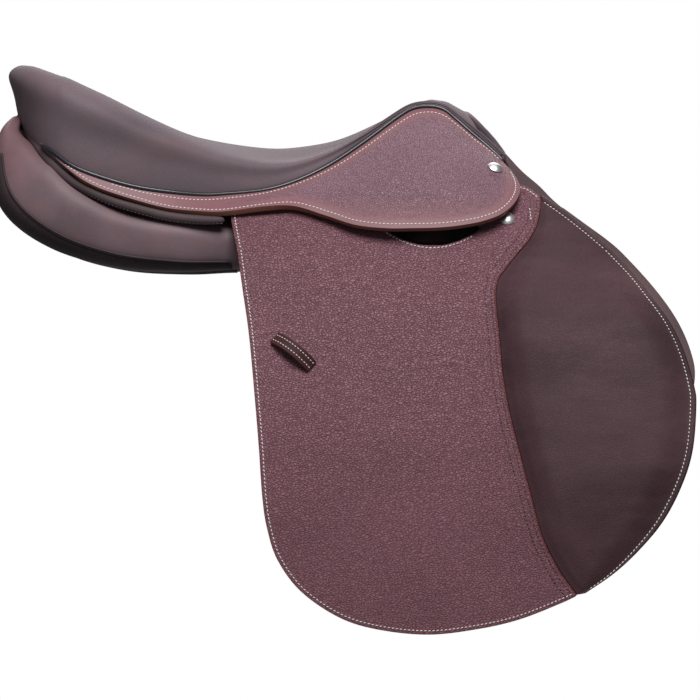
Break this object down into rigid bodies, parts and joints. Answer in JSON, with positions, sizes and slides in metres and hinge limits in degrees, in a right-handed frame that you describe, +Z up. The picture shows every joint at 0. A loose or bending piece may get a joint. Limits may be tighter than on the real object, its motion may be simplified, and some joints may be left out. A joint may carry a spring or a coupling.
{
  "type": "jumping saddle",
  "caption": "Close-contact jumping saddle with forward-cut flaps, padded knee pads, skirts over stirrup bars, padded panels, girth billets and a laminated tree.",
  "frame": {"origin": "middle plane, straight below the lowest point of the seat, on the line where the panels rest on the back", "axes": "+X forward to the pommel, +Y to the horse's left, +Z up"},
  "size_m": [0.6028, 0.4824, 0.49],
  "materials": {
    "tree_wood": "plain laminated wood",
    "steel": "brushed",
    "nail_metal": "polished",
    "webbing": "woven web",
    "foam": "foam",
    "seat_leather": "soft matt leather",
    "welt_leather": "glossy cord",
    "grained_leather": "pebbled grain",
    "lining_leather": "smooth",
    "calf_leather": "smooth calf",
    "panel_leather": "smooth calf",
    "billet_leather": "waxed strap"
  },
  "bodies": {
    "saddle": {"tree_seat": "tree_wood", "tree_head": "tree_wood", "gullet_plate": "steel", "head_rivets": "steel", "left_tree_spring": "steel", "right_tree_spring": "steel", "seat_webbing": "webbing", "seat_foam": "foam", "seat_cover": "seat_leather", "left_welt": "welt_leather", "right_welt": "welt_leather", "left_skirt_upper": "grained_leather", "right_skirt_upper": "grained_leather", "left_nails": "nail_metal", "right_nails": "nail_metal", "left_flap_upper": "grained_leather", "right_flap_upper": "grained_leather", "left_pad_upper": "calf_leather", "right_pad_upper": "calf_leather", "left_stirrup_bar": "steel", "right_stirrup_bar": "steel", "left_catch_pin": "steel", "right_catch_pin": "steel", "bar_rivets": "steel", "left_sweat_flap": "lining_leather", "right_sweat_flap": "lining_leather", "left_knee_block": "calf_leather", "right_knee_block": "calf_leather", "left_thigh_block": "calf_leather", "right_thigh_block": "calf_leather", "left_panel": "panel_leather", "right_panel": "panel_leather", "left_gusset": "panel_leather", "right_gusset": "panel_leather", "cantle_facing": "seat_leather", "head_facing": "seat_leather", "left_billet_webs": "webbing", "right_billet_webs": "webbing", "left_billet_guard": "lining_leather", "right_billet_guard": "lining_leather"},
    "left_flap": {"left_flap_lining": "lining_leather", "left_flap_cover": "grained_leather", "left_knee_pad": "calf_leather", "left_keeper": "calf_leather"},
    "left_skirt": {"left_skirt_lower": "grained_leather"},
    "left_catch": {"left_bar_catch": "steel"},
    "left_rear_billet": {"left_rear_billet": "billet_leather"},
    "left_middle_billet": {"left_middle_billet": "billet_leather"},
    "left_front_billet": {"left_front_billet": "billet_leather"},
    "right_flap": {"right_flap_lining": "lining_leather", "right_flap_cover": "grained_leather", "right_knee_pad": "calf_leather", "right_keeper": "calf_leather"},
    "right_skirt": {"right_skirt_lower": "grained_leather"},
    "right_catch": {"right_bar_catch": "steel"},
    "right_rear_billet": {"right_rear_billet": "billet_leather"},
    "right_middle_billet": {"right_middle_billet": "billet_leather"},
    "right_front_billet": {"right_front_billet": "billet_leather"}
  },
  "joints": [
    {"name": "left_flap_lift", "type": "hinge", "parent": "saddle", "child": "left_flap", "pos_m": [0.1, 0.143, 0.013], "axis": [1, 0, 0], "range_deg": [0, 85]},
    {"name": "left_skirt_lift", "type": "hinge", "parent": "saddle", "child": "left_skirt", "pos_m": [0.12, 0.1253, 0.059], "axis": [0.9775, -0.1369, 0.1603], "range_deg": [0, 45]},
    {"name": "left_catch_turn", "type": "hinge", "parent": "saddle", "child": "left_catch", "pos_m": [0.09, 0.12093, 0.04726], "axis": [0, 0.8109, 0.5852], "range_deg": [0, 85]},
    {"name": "left_rear_billet_swing", "type": "hinge", "parent": "saddle", "child": "left_rear_billet", "pos_m": [0.045, 0.11872, 0.016], "axis": [0, 0.8334, 0.5526], "range_deg": [-3.3, 3.3]},
    {"name": "left_middle_billet_swing", "type": "hinge", "parent": "saddle", "child": "left_middle_billet", "pos_m": [0.1, 0.11872, 0.016], "axis": [0, 0.8334, 0.5526], "range_deg": [-3.3, 3.3]},
    {"name": "left_front_billet_swing", "type": "hinge", "parent": "saddle", "child": "left_front_billet", "pos_m": [0.155, 0.11872, 0.016], "axis": [0, 0.8334, 0.5526], "range_deg": [-3.3, 3.3]},
    {"name": "right_flap_lift", "type": "hinge", "parent": "saddle", "child": "right_flap", "pos_m": [0.1, -0.143, 0.013], "axis": [-1, 0, 0], "range_deg": [0, 85]},
    {"name": "right_skirt_lift", "type": "hinge", "parent": "saddle", "child": "right_skirt", "pos_m": [0.12, -0.1253, 0.059], "axis": [-0.9775, -0.1369, -0.1603], "range_deg": [0, 45]},
    {"name": "right_catch_turn", "type": "hinge", "parent": "saddle", "child": "right_catch", "pos_m": [0.09, -0.12093, 0.04726], "axis": [0, 0.8109, -0.5852], "range_deg": [0, 85]},
    {"name": "right_rear_billet_swing", "type": "hinge", "parent": "saddle", "child": "right_rear_billet", "pos_m": [0.045, -0.11872, 0.016], "axis": [0, -0.8334, 0.5526], "range_deg": [-3.3, 3.3]},
    {"name": "right_middle_billet_swing", "type": "hinge", "parent": "saddle", "child": "right_middle_billet", "pos_m": [0.1, -0.11872, 0.016], "axis": [0, -0.8334, 0.5526], "range_deg": [-3.3, 3.3]},
    {"name": "right_front_billet_swing", "type": "hinge", "parent": "saddle", "child": "right_front_billet", "pos_m": [0.155, -0.11872, 0.016], "axis": [0, -0.8334, 0.5526], "range_deg": [-3.3, 3.3]}
  ]
}
